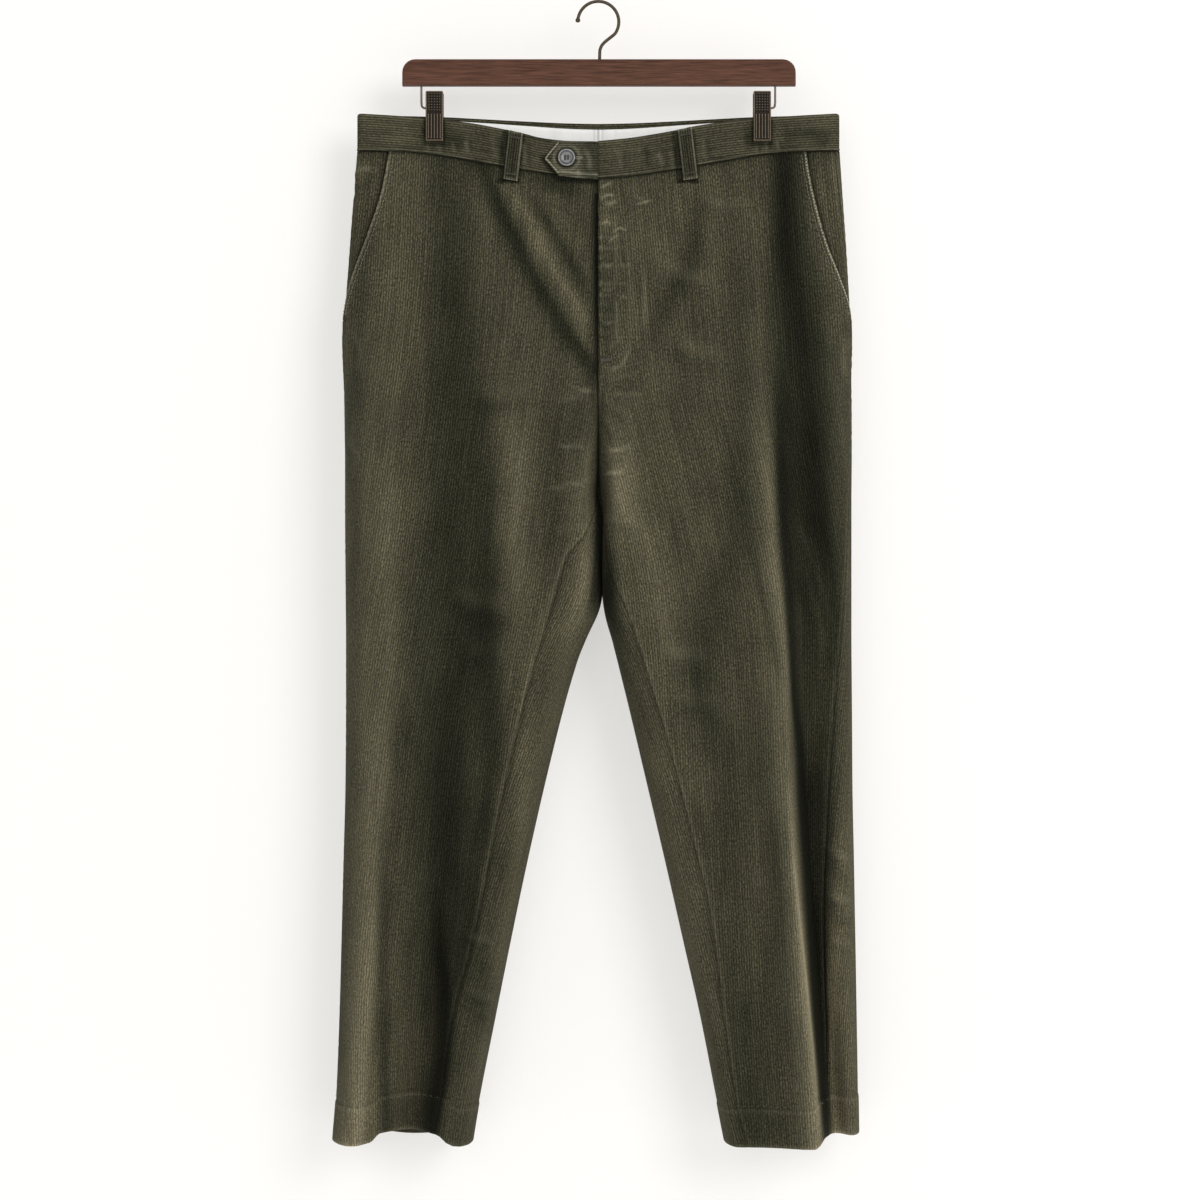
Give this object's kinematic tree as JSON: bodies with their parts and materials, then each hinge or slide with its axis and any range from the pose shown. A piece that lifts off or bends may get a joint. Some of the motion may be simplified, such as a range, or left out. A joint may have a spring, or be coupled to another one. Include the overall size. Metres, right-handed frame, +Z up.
{
  "type": "corduroy trousers on clip hanger",
  "caption": "Full-length straight-leg corduroy trousers with a tabbed waistband, hanging flat by the waist from a wooden bar hanger with clips.",
  "frame": {"origin": "inside top of the hanger's hook, where a rail carries it", "axes": "+Z up, +X to the right of someone facing the front, the trousers' front faces -Y"},
  "size_m": [0.525, 0.1129, 1.1392],
  "materials": {
    "corduroy": "dark olive green cotton corduroy, fine wales, rubbed pale along its edges",
    "lining": "off-white cotton waistband lining",
    "zip_tape": "woven zip tape",
    "horn": "dark grey imitation horn, satin",
    "wood": "dark brown stained and varnished beech",
    "bronze": "dark bronzed steel"
  },
  "bodies": {
    "root": {"front_panel_left": "corduroy", "front_panel_left_lower": "corduroy", "front_panel_right": "corduroy", "front_panel_right_lower": "corduroy", "back_panel_left": "corduroy", "back_panel_left_lower": "corduroy", "back_panel_right": "corduroy", "back_panel_right_lower": "corduroy", "pocket_facing_left": "corduroy", "pocket_facing_right": "corduroy", "fly_shield": "corduroy", "fly_zip": "zip_tape", "waistband_front_left": "corduroy", "waistband_front_right": "corduroy", "waistband_tab": "corduroy", "waistband_back": "corduroy", "waistband_lining": "lining", "belt_loop_front_left": "corduroy", "belt_loop_front_right": "corduroy", "belt_loop_back_left": "corduroy", "belt_loop_back_right": "corduroy", "belt_loop_back_centre": "corduroy", "waist_button": "horn", "hanger_bar": "wood", "hanger_hook": "bronze", "clip_jaw_front_left": "bronze", "clip_jaw_front_right": "bronze", "clip_jaw_back_left": "bronze", "clip_jaw_back_right": "bronze", "clip_pin_left": "bronze", "clip_pin_right": "bronze", "clip_wire_left": "bronze", "clip_wire_right": "bronze"}
  },
  "joints": []
}
